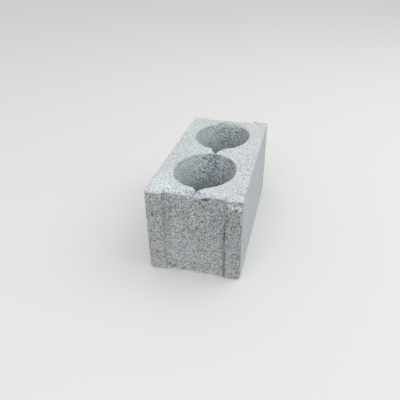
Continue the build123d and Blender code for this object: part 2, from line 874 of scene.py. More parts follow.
    @property
    def half_length(self) -> float:
        """Half of the block's length."""
        return (self.high.y - self.low.y) / 2

    @property
    def height(self) -> float:
        """The block's height."""
        return self.high.z - self.low.z

    @property
    def panel_half_width(self) -> float:
        """Half of an end panel's width."""
        return self.half_width - self.strip_width

    @property
    def core_half_width(self) -> float:
        """Half of a core's width at the top."""
        return self.half_width - self.side_wall

    @property
    def core_half_length(self) -> float:
        """Half of a core's length at the top."""
        return (self.half_length - self.end_wall - self.web_thickness / 2) / 2

    @property
    def core_middle(self) -> float:
        """Distance from the block's middle to the middle of each core."""
        return self.web_thickness / 2 + self.core_half_length

    def distances(self, place: Value) -> Distances:
        """Works out how far a place is from each surface of the clean block.

        Args:
            place: the place, in metres.

        Returns:
            The distances.
        """
        x, y, z = place.split()
        across, along = abs(x), abs(y)
        slope_foot = self.panel_half_width - self.panel_slope_width
        set_back = across.ramp(self.panel_half_width, slope_foot, 0.0, self.panel_depth)
        return Distances(
            side=across - self.half_width,
            end=along - self.half_length + set_back,
            top=z - self.height,
            bed=-z,
            hollow=self.cores(x, along, z).least(self.marks(place), self.mark_blend),
        )

    def cores(self, x: Value, along: Value, z: Value) -> Value:
        """Distance to the two oval cores, negative inside them.

        Args:
            x: coordinate across the block.
            along: distance from the middle of the block, along it.
            z: height.

        Returns:
            The distance.
        """
        narrowed = self.core_draft - z * (self.core_draft / self.height)
        wide = self.core_half_width - narrowed
        long = self.core_half_length - narrowed
        u, v = x / wide, (along - self.core_middle) / long
        ring = (u * u + v * v).root()
        steep_u, steep_v = u / wide, v / long
        steepness = (steep_u * steep_u + steep_v * steep_v).root().most(self.least_steepness)
        return ring * (ring - 1.0) / steepness

    def flared(self, place: Value) -> Value:
        """Distance to the flare at the near end of each core.

        Args:
            place: the place.

        Returns:
            The distance, negative inside them, whatever the height.
        """
        x, y, _ = place.split()
        near, far = [flare.outside(x, flare.core * self.core_middle - y, self.core_half_length)
                     for flare in self.flares]
        return near.least(far)

    def marks(self, place: Value) -> Value:
        """Distance to the core bar's marks: the flares, and what is open of the slot.

        Args:
            place: the place.

        Returns:
            The distance, negative inside them.
        """
        x, y, z = place.split()
        slot_half = self.slot_opening.at(place.noise(Pattern.SLOT_CRUMBS))
        lid = z - (self.height - self.slot_lid)
        slot = (abs(x - self.mark_shift) - slot_half).most(abs(y) - self.core_middle).most(lid)
        return slot.least(self.flared(place)).most(self.height - self.mark_depth - z)

    def bar_track(self, place: Value) -> Value:
        """How much a place lies in the loose fill that closes the slot in the web.

        Args:
            place: the place.

        Returns:
            The share, from 0 to 1.
        """
        x, y, z = place.split()
        beside = self.track_beside.at(abs(x - self.mark_shift))
        above = self.track_above.at(z - (self.height - self.mark_depth))
        return beside * above * self.track_along.at(abs(y))

    def crumbled(self, place: Value) -> tuple[Value, Value]:
        """How deep the near top edge and the far rim have crumbled away.

        Args:
            place: the place.

        Returns:
            The depth at the near top edge, and at the far rim.
        """
        lumps = self.slump_lumps.at(place.noise(Pattern.SLUMP_LUMPS))
        near, far = [slump.share(place) * lumps * slump.depth
                     for slump in (self.near_slump, self.far_slump)]
        return near, far

    def soft_rim(self, place: Value) -> Value:
        """How rounded the rims of the cores are: 1 along their left sides."""
        x, _, _ = place.split()
        return self.left_rims.at(x)

    def rim_wear(self, place: Value, crumb: Value) -> Value:
        """How deep the upper rims have worn: more on their left sides and at the web.

        Args:
            place: the place.
            crumb: how much it lies where crumbs have come off.

        Returns:
            The depth.
        """
        x, y, _ = place.split()
        web = self.web_rims.at(abs(y)) * self.web_rims_left.at(x)
        uneven = self.soft_rim(place) * self.left_rim_crumbs + web * self.web_rim_crumbs
        return crumb * (uneven + self.rim_crumbs) + self.least_rim

    def foot_lumps(self, place: Value) -> Value:
        """How far lumps of paste stand out along the foot of each end panel.

        Args:
            place: the place.

        Returns:
            The share of their full depth, from 0 to 1.
        """
        x, _, z = place.split()
        lump = place.cells(self.foot_lump, self.foot_offset)["Distance"].ramp(LUMP_END, LUMP_WHOLE)
        return lump * self.foot_height.at(z) * self.foot_across.at(abs(x))

    def fray(self, place: Value, d: Distances) -> Value:
        """Distance to what is left when the edges have crumbled.

        Args:
            place: the place.
            d: the distances to the clean surfaces.

        Returns:
            The distance, negative where concrete is left.
        """
        gap = place.gaps(self.edge_lump)
        crumb = self.crumb_onset.at(place.noise(Pattern.CRUMBS))
        bite = self.bite_onset.at(place.noise(Pattern.EDGE_BITES))
        gone = (gap, crumb, bite)
        near, far = self.crumbled(place)
        wall = -d.hollow
        edges = [
            (d.end + d.top) + self.end_top.depth(*gone) + near,
            (d.end + d.bed) + self.end_bed.depth(*gone),
            (d.side + d.top) + self.side_top.depth(*gone),
            (d.side + d.bed) + self.side_bed.depth(*gone),
            (d.end + d.side) + self.corner.depth(*gone),
            (wall + d.top) + self.rim_wear(place, crumb) + far,
            (wall + d.bed) + self.rim_bed.depth(*gone),
        ]
        left = edges[0]
        for edge in edges[1:]:
            left = left.most(edge)
        # brings a sum of two distances back to the distance from a cut at 45 degrees
        return left * math.sqrt(0.5)

    def faces(self, place: Value, d: Distances) -> dict[Face, Value]:
        """How much a place belongs to each kind of surface.

        Args:
            place: the place.
            d: the distances to the clean surfaces.

        Returns:
            A share from 0 to 1 for each kind.
        """
        inner = d.side.most(d.end)
        top = self.top_face.at(d.top + self.skin_and_highlight_reach(place, d))
        below = 1.0 - top
        return {
            Face.TOP: top,
            Face.END: self.end_face.at(d.end) * below,
            Face.SIDE: self.side_face.at(d.side) * self.side_end.at(d.end) * below,
            Face.CORE: self.core_face.at(inner) * below,
        }

    def skin_and_highlight_reach(self, place: Value, d: Distances) -> Value:
        """How far down the top's closed skin, and its paler colour, reaches; over the ends that colour
        is also a painted highlight on the worn top edge.

        Args:
            place: the place.
            d: the distances to the clean surfaces.

        Returns:
            The distance below the top face.
        """
        x, _, _ = place.split()
        inner = d.side.most(d.end)
        near, far = self.crumbled(place)
        wavy = place.noise(Pattern.SKIN_EDGES) * self.skin_wave
        # over the ends the top's paler colour is also a painted highlight on the worn top edge
        over_end = self.skin_and_highlight_over_end.at(x) * self.skin_and_highlight_at_end.at(d.end)
        over_rim = self.soft_rim(place) * self.skin_at_rim.at(inner) * self.skin_over_rim
        over_side = self.skin_over_side.at(d.side)
        return (near + far) * self.skin_over_slump + wavy + over_end.most(over_side) + over_rim

    def crowd(self, place: Value) -> Value:
        """How crowded the pores are, about 1."""
        patch = self.pore_crowds.at(place.noise(Pattern.PORE_CROWDS))
        return patch + self.bar_track(place) * self.track_crowd

    def pores(self, place: Value) -> tuple[Value, Value]:
        """How far into a coarse pore and into a fine pore a place is.

        Args:
            place: the place.

        Returns:
            0 outside the pores to 1 in the middle of one, for each kind.
        """
        crowd = self.crowd(place)
        coarse = self.coarse_pores.hollow(place, crowd)
        fine = self.fine_pores.hollow(place, crowd)
        return coarse, fine

    def openness(self, place: Value, on: dict[Face, Value]) -> Value:
        """How open and rough the cast grain is.

        Args:
            place: the place.
            on: the share of each kind of surface there.

        Returns:
            0 on a face that the mould pressed smooth to about 1 on an open one.
        """
        x, _, _ = place.split()
        left, right = self.left_core_openness.at(x), self.right_core_openness.at(x)
        open_face = on[Face.END].most(on[Face.CORE] * left * right)
        return open_face + on[Face.TOP] * self.top_openness + on[Face.SIDE] * self.side_openness

    def pitting(self, place: Value, on: dict[Face, Value]) -> Value:
        """Depth of the pores and of the open grain under the clean surface.

        Args:
            place: the place.
            on: the share of each kind of surface there.

        Returns:
            The depth, in metres.
        """
        coarse, fine = self.pores(place)
        grain = self.grain_onset.at(place.noise(Pattern.OPEN_GRAIN))
        swell = self.swell_onset.at(place.noise(Pattern.SWELL))
        deep = coarse * self.coarse_depth + fine * self.fine_depth + grain * self.grain_depth
        deep = deep + place.gaps(self.grain) * self.gap_depth
        return deep * self.openness(place, on) + swell * self.swell_depth

    def inside_pits(self, place: Value) -> Value:
        """How far a place is inside the large pits.

        Args:
            place: the place.

        Returns:
            0 outside them to 1 well inside one.
        """
        apart = self.pits[0].outside(place)
        for pit in self.pits[1:]:
            apart = apart.least(pit.outside(place))
        return self.pit_shade_onset.at(apart)

    def chipped(self, place: Value, left: Value) -> Value:
        """Takes the chips and the pits out.

        Args:
            place: the place.
            left: distance to the concrete so far.

        Returns:
            The distance with the chips taken out.
        """
        ragged = place.sway(Pattern.CHIP_EDGES) * RAGGEDNESS
        for chip in (*self.chips, *self.pits, self.fresh_chip):
            ball = chip.outside(place) + ragged
            left = left.most(-ball * min(chip.size))
        return left

    def surface(self, place: Value) -> Value:
        """Distance to the cast block with its relief, negative in the concrete.

        Args:
            place: the place.

        Returns:
            The distance.
        """
        d = self.distances(place)
        d = replace(d, end=d.end - self.foot_lumps(place) * self.foot_depth)
        solid = d.side.most(d.end).most(d.top).most(-d.hollow)
        solid = solid.most(self.fray(place, d), self.edge_blend)
        solid = solid + self.pitting(place, self.faces(place, d))
        solid = self.chipped(place, solid)
        return solid.most(d.bed)

    def casting_tree(self, finish: bpy.types.Material) -> bpy.types.NodeTree:
        """Draws up the tree that meshes the block.

        Args:
            finish: the material that its end sets.

        Returns:
            The tree, with the grid's size as a named input.
        """
        tree = bpy.data.node_groups.new("cast_block", "GeometryNodeTree")
        tree.interface.new_socket("Grid", in_out="INPUT", socket_type="NodeSocketFloat")
        tree.interface.new_socket("Casting", in_out="OUTPUT", socket_type="NodeSocketGeometry")
        sheet = NodeSheet(tree)
        grid = sheet.add("NodeGroupInput")["Grid"]
        place = sheet.add("GeometryNodeInputPosition")["Position"]
        low = self.low - Vector((self.margin,) * 3)
        high = self.high + Vector((self.margin,) * 3)
        sockets = {"Density": -self.surface(place), "Background": -1.0,
                   "Min": tuple(low), "Max": tuple(high)}
        for axis, span in zip("XYZ", high - low):
            sockets[f"Resolution {axis}"] = span / grid + 1.0
        volume = sheet.add("GeometryNodeVolumeCube", {}, sockets)["Volume"]
        mesh = sheet.add("GeometryNodeVolumeToMesh", {}, {"Volume": volume, "Threshold": 0.0})["Mesh"]
        whole = largest_part(mesh)
        real = sheet.add("GeometryNodeRealizeInstances", {}, {"Geometry": whole})["Geometry"]
        dressed = sheet.add("GeometryNodeSetMaterial", {}, {"Geometry": real, "Material": finish})
        sheet.add("NodeGroupOutput", {}, {"Casting": dressed["Geometry"]})
        return tree

    def cast(self, finish: bpy.types.Material) -> bpy.types.Object:
        """Makes the block's piece.

        Args:
            finish: its material.

        Returns:
            The piece, as one closed mesh.
        """
        piece = grown("cast_concrete_block", self.casting_tree(finish), {"Grid": self.grid})
        thin(piece, self.most_triangles)
        self.press(piece)
        piece.data.shade_smooth()
        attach(piece, "root")
        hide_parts(self.node)
        return piece

    def press(self, piece: bpy.types.Object) -> None:
        """Presses what thinning moved out of the block's box back onto its faces."""
        for vertex in piece.data.vertices:
            vertex.co = [min(max(v, low), high) for v, low, high in zip(vertex.co, self.low, self.high)]


def grown(name: str, tree: bpy.types.NodeTree, values: dict[str, Any]) -> bpy.types.Object:
    """Runs a geometry tree and keeps its result as a plain mesh.

    Args:
        name: the new object's name.
        tree: the tree.
        values: values of its named inputs.

    Returns:
        The object, with no modifier.
    """
    seed = bpy.data.objects.new(name, bpy.data.meshes.new(name))
    bpy.context.scene.collection.objects.link(seed)
    modifier = seed.modifiers.new("grow", "NODES")
    modifier.node_group = tree
    for item in tree.interface.items_tree:
        if item.in_out == "INPUT" and item.name in values:
            modifier[item.identifier] = values[item.name]
    settle(seed)
    return seed


def largest_part(mesh: Value) -> Value:
    """Deletes every loose part of a mesh but the largest.

    Args:
        mesh: the mesh, in a geometry tree.

    Returns:
        The part that is kept.
    """
    sheet = mesh.sheet
    island = sheet.add("GeometryNodeInputMeshIsland")["Island Index"]
    size = sheet.add("GeometryNodeAccumulateField", {}, {"Value": 1.0, "Group ID": island})["Total"]
    sizes = sheet.add("GeometryNodeAttributeStatistic", {}, {"Geometry": mesh, "Attribute": size})
    # the sizes are whole numbers of points, so half a point tells two of them apart
    smaller = size < sizes["Max"] - 0.5
    kept = sheet.add("GeometryNodeDeleteGeometry", {}, {"Geometry": mesh, "Selection": smaller})
    return kept["Geometry"]


def settle(piece: bpy.types.Object) -> None:
    """Turns a piece's modifiers into its mesh.

    Args:
        piece: the piece.
    """
    evaluated = piece.evaluated_get(bpy.context.evaluated_depsgraph_get())
    mesh = bpy.data.meshes.new_from_object(evaluated)
    piece.modifiers.clear()
    piece.data = mesh


def thin(piece: bpy.types.Object, most: int) -> None:
    """Thins a mesh where it is flattest.

    Args:
        piece: the piece.
        most: the most triangles that it may keep.
    """
    piece.data.calc_loop_triangles()
    triangles = len(piece.data.loop_triangles)
    modifier = piece.modifiers.new("thin", "DECIMATE")
    modifier.ratio = min(1.0, most / triangles)
    settle(piece)
    piece.data.calc_loop_triangles()
    log.info("%s: %d triangles, thinned to %d", piece.name, triangles, len(piece.data.loop_triangles))


@dataclass(frozen=True)
class Streak:
    """An upright streak beside the edge of the near end's panel; those in the panel's corners are
    painted shade.

    Args:
        edge: the panel's edge that it follows, -1 for the left one and 1 for the right one.
        beside: how far its middle lies to the right of that edge.
        flanks: how strong it is, by the distance from its middle.
        ends: how strong it is by height, at each end that it fades out at.
        dark: the share of the light that it takes; less than 0 where it is lighter.
    """

    edge: int
    beside: float
    flanks: Fade
    ends: tuple[Fade, ...]
    dark: float

    def shade(self, x: Value, z: Value, panel_half_width: float) -> Value:
        """How much of the light it takes at a place.

        Args:
            x: coordinate across the block.
            z: height.
            panel_half_width: half of the panel's width.

        Returns:
            The share of the light.
        """
        share = self.flanks.at(abs(x - self.edge * panel_half_width - self.beside))
        for end in self.ends:
            share = share * end.at(z)
        return share * self.dark


@dataclass(frozen=True)
class ConcreteFinish:
    """Bare cast concrete, with its colours in linear light.

    Args:
        top, side, end, core: colour of each kind of surface; the cores' colour is painted lighter,
            to make up for the light that does not reach into them.
        foot, top_left: what the colour of the ends' foot and of the top's left are
            multiplied by.
        foot_height: where the ends take on the colour of their foot, by height.
        top_middle: where the top loses the colour of its left, across the block.
        greenish, bluish: the two tints that drift over the whole block.
        tint_drift: how they give way to each other, by their pattern.
        damp: the tint of the loose fill in the web.
        roughness: how matt it is.
        grain_by_height: how strongly the grain shows on an open face, by height.
        top_grain: how much more strongly it shows on the top, across the block.
        slump_grain, side_grain, core_grain: the same in the near slump, on the sides and in
            the cores.
        grain_cell: size of a grain that has a tone of its own.
        grain_bend: how far the outlines of those grains are bent.
        grain_tone, joint_tone, fine_tone, wide_tone, blotch_tone: how much the tone differs
            from grain to grain, at their joints, in the sand, across the block and in blotches.
        mean_gap: mean of the gaps between the grains, which leaves the tone as it was.
        pore_shade_share, pin_shade_share, pit_shade_share: painted shade in pores, pin pores and pits:
        the share of the
            light that they lose.
        foot_edge: where the painted highlight along the foot of an end begins, by the distance from
            its edge.
        foot_painted_highlight, lump_painted_highlight: how much lighter that foot is painted, and its
        lumps: painted highlight.
        deep_core_shade: how much darker the cores are painted low down, by height: painted shade.
        left_core_dark: how much darker they are on their left, across the block.
        right_core: where their right begins, across the block.
        right_core_shade: how much darker they are painted there, by height: painted shade.
        flare_shade: how much darker the flares are painted, by the distance from them: painted shade.
        shoulder_shade: how much darker the left shoulders of the rims are painted, across the block:
            painted shade where they turn down into the cores.
        shoulder_width: where those shoulders begin, by the distance from the cores.
        strip_dark: how much darker the strips are than the panel, by the distance from the
            middle across the block.
        left_light: how much lighter the left of an end is, across the block.
        drift_rise, drift_fall: how the painted shade in the corner at the right edge of the panel
            thickens up to that edge and ends there, by the place to the right of it.
        drift_top: where this shade ends, by height.
        drift_lean: how far it leans out, by height.
        drift_shade: the share of the light that it takes, by height.
        edge_shading_patches: how patchy this shade and the streaks are, by their pattern.
        edge_shading_inside: where they begin, by the distance from the ends.
        streaks: the streaks at both edges of the panel: painted shade in its corners, a darker
            band high up beside its right edge and a lighter line beside its left edge.
        sand_depth: depth of the grain that is too fine for the mesh.
        sand_strength: how strongly that shows.
        stains_and_shadows: the patches with a colour of their own; two dark ones are painted shadow, in
            the chip under the near slump and under the near core's right rim.
    """

    top: Triple = (0.662, 0.700, 0.717)
    side: Triple = (0.505, 0.538, 0.568)
    end: Triple = (0.455, 0.490, 0.492)
    # painted light: lighter than the other faces, to make up for the light that does not reach into the
    # cores
    core: Triple = (0.768, 0.834, 0.858)
    foot: Triple = (1.13, 1.085, 1.105)
    top_left: Triple = (0.985, 1.010, 1.005)
    foot_height: Fade = Fade(130.0 * MM, 25.0 * MM)
    top_middle: Fade = Fade(-20.0 * MM, 60.0 * MM)
    greenish: Triple = (0.990, 1.005, 0.985)
    bluish: Triple = (1.000, 0.990, 1.010)
    tint_drift: Fade = Fade(0.36, 0.64)
    damp: Triple = (0.95, 0.96, 1.00)
    roughness: float = 0.92
    grain_by_height: Fade = Fade(60.0 * MM, 130.0 * MM, low=0.90, high=1.06)
    top_grain: Fade = Fade(-20.0 * MM, 30.0 * MM, low=0.36, high=0.30)
    slump_grain: float = 0.4
    side_grain: float = 0.27
    core_grain: float = 0.20
    grain_cell: float = 2.3 * MM
    grain_bend: float = 1.4 * MM
    grain_tone: float = 0.40
    joint_tone: float = 0.62
    fine_tone: float = 1.3
    wide_tone: float = 0.14
    blotch_tone: float = 0.06
    mean_gap: float = 0.35
    # painted shade in the pores, the pin pores and the large pits
    pore_shade_share: float = 0.84
    pin_shade_share: float = 0.80
    pit_shade_share: float = 0.78
    # painted highlight along the foot of the ends and on its lumps
    foot_edge: Fade = Fade(-10.0 * MM, -5.0 * MM)
    foot_painted_highlight: float = 0.16
    lump_painted_highlight: float = 0.30
    # painted shade low in the cores, on their right sides, in the flares and on the rims' left
    # shoulders
    deep_core_shade: Fade = Fade(140.0 * MM, 92.0 * MM, high=0.36)
    left_core_dark: Fade = Fade(-20.0 * MM, -50.0 * MM, high=0.05)
    right_core: Fade = Fade(12.0 * MM, 45.0 * MM)
    right_core_shade: Fade = Fade(100.0 * MM, 140.0 * MM, low=0.12, high=0.20)
    flare_shade: Fade = Fade(4.0 * MM, 1.0 * MM, high=0.76)
    shoulder_shade: Fade = Fade(-38.0 * MM, -56.0 * MM, high=0.16)
    shoulder_width: Fade = Fade(5.0 * MM, 1.0 * MM)
    strip_dark: Fade = Fade(58.0 * MM, 64.0 * MM, high=0.10)
    left_light: Fade = Fade(-20.0 * MM, -60.0 * MM, high=0.05)
    # painted shade in the corner at the right edge of the end panels
    drift_rise: Fade = Fade(-14.0 * MM, 0.0)
    drift_fall: Fade = Fade(0.8 * MM, -0.4 * MM)
    drift_top: Fade = Fade(134.0 * MM, 124.0 * MM)
    drift_lean: Fade = Fade(112.0 * MM, 76.0 * MM, high=2.0 * MM)
    drift_shade: Fade = Fade(80.0 * MM, 40.0 * MM, low=0.40, high=0.62)
    # how patchy the painted shade at the panels' edges is, and where it begins
    edge_shading_patches: Fade = Fade(0.3, 0.6, low=0.75, high=1.0)
    edge_shading_inside: Fade = Fade(-12.0 * MM, -8.0 * MM)
    # painted shade in the panels' corners, a darker band high up on the right and a lighter line on the
    # left
    streaks: tuple[Streak, ...] = (
        Streak(edge=1, beside=0.0, flanks=Fade(2.4 * MM, 0.8 * MM),
               ends=(Fade(130.0 * MM, 124.0 * MM), Fade(88.0 * MM, 94.0 * MM)), dark=0.28),
        Streak(edge=1, beside=2.0 * MM, flanks=Fade(6.0 * MM, 1.5 * MM),
               ends=(Fade(122.0 * MM, 130.0 * MM),), dark=0.22),
        Streak(edge=-1, beside=2.0 * MM, flanks=Fade(2.6 * MM, 0.8 * MM),
               ends=(), dark=0.07),
        Streak(edge=-1, beside=-4.0 * MM, flanks=Fade(3.0 * MM, 1.0 * MM),
               ends=(Fade(105.0 * MM, 90.0 * MM),), dark=-0.07),
    )
    sand_depth: float = 1.4 * MM
    sand_strength: float = 0.9
    stains_and_shadows: tuple[StainAndShadow, ...] = (
        # on the near end's right strip
        StainAndShadow(mm(77, -195, 172), mm(17, 6, 15), tint=(1.22, 1.22, 1.24)),
        StainAndShadow(mm(72, -195, 174), mm(6.5, 6, 7), tint=(1.22, 1.22, 1.20)),
        StainAndShadow(mm(84, -195, 170), mm(11, 6, 8), tint=(1.20, 1.20, 1.22)),
        StainAndShadow(mm(92.5, -195, 145), mm(3.6, 5, 11), tint=(1.36, 1.36, 1.38)),
        StainAndShadow(mm(63, -192, 150), mm(6, 7, 26), tint=(1.0, 1.01, 0.985)),
        # on its left strip
        StainAndShadow(mm(-80, -195, 176), mm(17, 6, 9), tint=(1.02, 1.08, 1.06)),
        StainAndShadow(mm(-68, -192, 164), mm(25, 9, 17), tint=(1.09, 1.08, 1.08)),
        StainAndShadow(mm(-78, -195, 114), mm(15, 6, 17), tint=(1.08, 1.08, 1.08)),
        StainAndShadow(mm(-60, -192, 102), mm(6, 6, 20), tint=(1.02, 1.01, 1.05)),
        # on its panel
        # painted shadow in the chip under the near slump
        StainAndShadow(mm(22.5, -184, 176), mm(7, 8, 3.6), tint=(0.60, 0.60, 0.60)),
        StainAndShadow(mm(-1, -188, 156), mm(8, 6, 7), tint=(0.90, 0.90, 0.90)),
        StainAndShadow(mm(-26, -188, 130), mm(24, 6, 18), tint=(1.055, 1.05, 1.05)),
        StainAndShadow(mm(-20, -188, 54), mm(14, 6, 10), tint=(0.92, 0.92, 0.92)),
        # on the top, near its near end
        StainAndShadow(mm(-72, -172, 188), mm(26, 24, 8), tint=(1.09, 1.115, 1.12)),
        StainAndShadow(mm(-64, -142, 188), mm(26, 36, 8), tint=(1.085, 1.075, 1.08)),
        StainAndShadow(mm(-28, -179, 188), mm(22, 13, 8), tint=(1.09, 1.08, 1.08)),
        StainAndShadow(mm(10, -180, 187), mm(16, 10, 9), tint=(1.0, 1.01, 1.06)),
        StainAndShadow(mm(50, -172, 188), mm(26, 18, 8), tint=(1.03, 1.03, 1.03)),
        StainAndShadow(mm(90, -171.5, 188), mm(6.5, 4, 4), tint=(0.70, 0.70, 0.71)),
        # on the top, at the web and at the far left
        StainAndShadow(mm(46, 8, 188), mm(20, 18, 8), tint=(1.05, 1.05, 1.05)),
        StainAndShadow(mm(-80, 150, 188), mm(26, 60, 8), tint=(1.01, 1.04, 1.02)),
        # in the near core
        StainAndShadow(mm(-50, -46, 128), mm(17, 24, 17), tint=(0.97, 0.98, 1.04)),
        StainAndShadow(mm(-1, -14, 152), mm(13, 14, 24), tint=(1.03, 1.02, 1.10)),
        StainAndShadow(mm(-27, -22, 152), mm(16, 12, 34), tint=(1.13, 1.12, 1.12)),
        # painted shadow under the near core's right rim
        StainAndShadow(mm(39, -31, 181), mm(10, 9, 3.6), tint=(0.68, 0.69, 0.69)),
        StainAndShadow(mm(52, -60, 135), mm(26, 60, 44), tint=(1.035, 1.01, 1.02)),
        # in the far core
        StainAndShadow(mm(-42, 141, 130), mm(15, 14, 17), tint=(0.80, 0.83, 0.82)),
        StainAndShadow(mm(12, 160, 138), mm(30, 14, 13), tint=(0.90, 0.91, 0.91)),
    )

    def material(self, block: ConcreteBlock) -> bpy.types.Material:
        """Makes the material.

        Args:
            block: the block, for the places of its surfaces.

        Returns:
            The material.
        """
        material = bpy.data.materials.new("cast_concrete")
        material.use_nodes = True
        material.node_tree.nodes.clear()
        sheet = NodeSheet(material.node_tree)
        place = sheet.add("ShaderNodeTexCoord")["Object"]
        d = block.distances(place)
        on = block.faces(place, d)
        strength = self.strength(place, on, block)
        tone = self.mottle(place) * strength + 1.0
        # painted shade in the pores and the large pits
        tone = tone * (1.0 - self.painted_pore_shade(place, block) * strength)
        # painted shade in the corners at the edges of the end panels
        tone = tone * self.panel_edge_shading(place, d, block)
        for shade in self.shades(place, d, on, block):
            tone = tone * shade
        colour = self.stained_and_shaded(place, self.bare(place, on), block)
        shader = sheet.add("ShaderNodeBsdfPrincipled", {}, {
            "Base Color": sheet.scaled(colour, tone),
            "Roughness": self.roughness,
            "Normal": self.micro_relief(place, strength),
        })
        sheet.add("ShaderNodeOutputMaterial", {}, {"Surface": sheet.first(shader)})
        return material

    def bare(self, place: Value, on: dict[Face, Value]) -> Value:
        """The colour of each surface before its tinted and shaded patches, its grain and its shades.

        Args:
            place: where it is read.
            on: the share of each kind of surface there.

        Returns:
            The colour.
        """
        x, _, z = place.split()
        colour = self.foot_height.at(z).mix(self.end, tinted(self.end, self.foot))
        colour = on[Face.SIDE].mix(colour, self.side)
        colour = on[Face.CORE].mix(colour, self.core)
        top = self.top_middle.at(x).mix(tinted(self.top, self.top_left), self.top)
        return on[Face.TOP].mix(colour, top)

    def strength(self, place: Value, on: dict[Face, Value], block: ConcreteBlock) -> Value:
        """How strongly the grain shows.

        Args:
            place: where it is read.
            on: the share of each kind of surface there.
            block: the block, for its openness and its near slump.

        Returns:
            The strength, about 1 on an end.
        """
        x, _, z = place.split()
        top = self.top_grain.at(x) + block.near_slump.share(place) * self.slump_grain
        strength = block.openness(place, on) * self.grain_by_height.at(z)
        strength = strength + on[Face.TOP] * top + on[Face.SIDE] * self.side_grain
        return strength + on[Face.CORE] * self.core_grain

    def mottle(self, place: Value) -> Value:
        """Light and dark grains of the aggregate, about 0.

        Args:
            place: where it is read.

        Returns:
            The tone.
        """
        shake = place.texture(Pattern.GRAIN_SHAKE)["Color"]
        bent = place.sheet.vector("MULTIPLY_ADD", "Vector", shake, (self.grain_bend,) * 3, place)
        cells = bent.cells(self.grain_cell)
        own = cells["Color"].split()[0] - 0.5
        joint = cells["Distance"].ramp(LUMP_WHOLE, LUMP_END) - self.mean_gap
        fine = place.sway(Pattern.FINE_TONE)
        wide = place.sway(Pattern.WIDE_TONE)
        blotch = place.sway(Pattern.BLOTCHES)
        tone = own * self.grain_tone - joint * self.joint_tone + fine * self.fine_tone
        return tone + wide * self.wide_tone + blotch * self.blotch_tone

    def painted_pore_shade(self, place: Value, block: ConcreteBlock) -> Value:
        """Painted shade in the pores and the large pits, from 0 outside them.

        Args:
            place: where it is read.
            block: the block, for its pores.

        Returns:
            The share of the light that they lose.
        """
        coarse, fine = block.pores(place)
        pin = block.pin_pores.hollow(place, block.crowd(place))
        small = (coarse.most(fine) * self.pore_shade_share).most(pin * self.pin_shade_share)
        return small.most(block.inside_pits(place) * self.pit_shade_share)

    def shades(self, place: Value, d: Distances, on: dict[Face, Value],
               block: ConcreteBlock) -> list[Value]:
        """How much lighter or darker the parts of the block are: a painted highlight along the foot
        of the ends, painted shade in the cores, the flares and on the rims' left shoulders, and
        darker strips and a lighter left on the ends.

        Args:
            place: where it is read.
            d: the distances to the clean surfaces.
            on: the share of each kind of surface there.
            block: the block, for its foot lumps and its flares.

        Returns:
            What the light is multiplied by, for each part.
        """
        x, _, z = place.split()
        foot_highlight = block.foot_lumps(place) * self.lump_painted_highlight + self.foot_painted_highlight
        # painted shade on the right sides of the cores, with a slight darkening on their left
        core_side_shade = self.right_core.at(x) * self.right_core_shade.at(z) + self.left_core_dark.at(x)
        rim_shoulder_shade = self.shoulder_shade.at(x) * self.shoulder_width.at(d.hollow)
        return [
            # painted highlight along the foot of the ends, strongest on its lumps
            1.0 + self.foot_edge.at(d.end + d.bed) * foot_highlight,
            # painted shade, deeper down the cores
            1.0 - on[Face.CORE] * self.deep_core_shade.at(z),
            # painted shade on the right sides of the cores
            1.0 - on[Face.CORE] * core_side_shade,
            # painted shade in the flares
            1.0 - on[Face.CORE] * self.flare_shade.at(block.flared(place)),
            # painted shade on the left shoulders of the rims
            1.0 - on[Face.TOP] * rim_shoulder_shade,
            1.0 - on[Face.END] * self.strip_dark.at(abs(x)),
            1.0 + on[Face.END] * self.left_light.at(x),
        ]

    def stained_and_shaded(self, place: Value, colour: Value, block: ConcreteBlock) -> Value:
        """Lays the tints, the tinted patches and the patches of painted shadow on a colour.

        Args:
            place: where it is read.
            colour: the colour.
            block: the block, for the place of the core bar's track.

        Returns:
            The colour with all of these laid on.
        """
        drift = self.tint_drift.at(place.noise(Pattern.TINTS))
        tint = drift.mix(self.greenish, self.bluish)
        tint = block.bar_track(place).mix(tint, self.damp)
        for tinted_patch in (*self.stains_and_shadows, block.fresh_chip):
            tint = tint.times(tinted_patch.share(place).mix(NO_TINT, tinted_patch.tint))
        return colour.times(tint)

    def panel_edge_shading(self, place: Value, d: Distances, block: ConcreteBlock) -> Value:
        """Painted shade in the corner at each edge of the end panels, with a darker band high up
        beside the right edge and a lighter line beside the left one.

        Args:
            place: where it is read.
            d: the distances to the clean surfaces.
            block: the block, for the place of the panels.

        Returns:
            What the colour is multiplied by.
        """
        x, _, z = place.split()
        beyond = x - self.drift_lean.at(z) - block.panel_half_width
        rise = self.drift_rise.at(beyond)
        drift = rise * rise * self.drift_fall.at(beyond) * self.drift_top.at(z)
        # painted shade in the corner at the panel's right edge
        edge_shading = drift * self.drift_shade.at(z)
        for streak in self.streaks:
            edge_shading = edge_shading + streak.shade(x, z, block.panel_half_width)
        patches = self.edge_shading_patches.at(place.noise(Pattern.EDGE_SHADING))
        return 1.0 - edge_shading * patches * self.edge_shading_inside.at(d.end)

    def micro_relief(self, place: Value, strength: Value) -> Value:
        """Grain that is too fine for the mesh.

        Args:
            place: where it is read.
            strength: how rough the surface is there.

        Returns:
            The normal.
        """
        height = place.noise(Pattern.SAND) * strength
        sockets = {"Strength": self.sand_strength, "Distance": self.sand_depth, "Height": height}
        return place.sheet.add("ShaderNodeBump", {}, sockets)["Normal"]


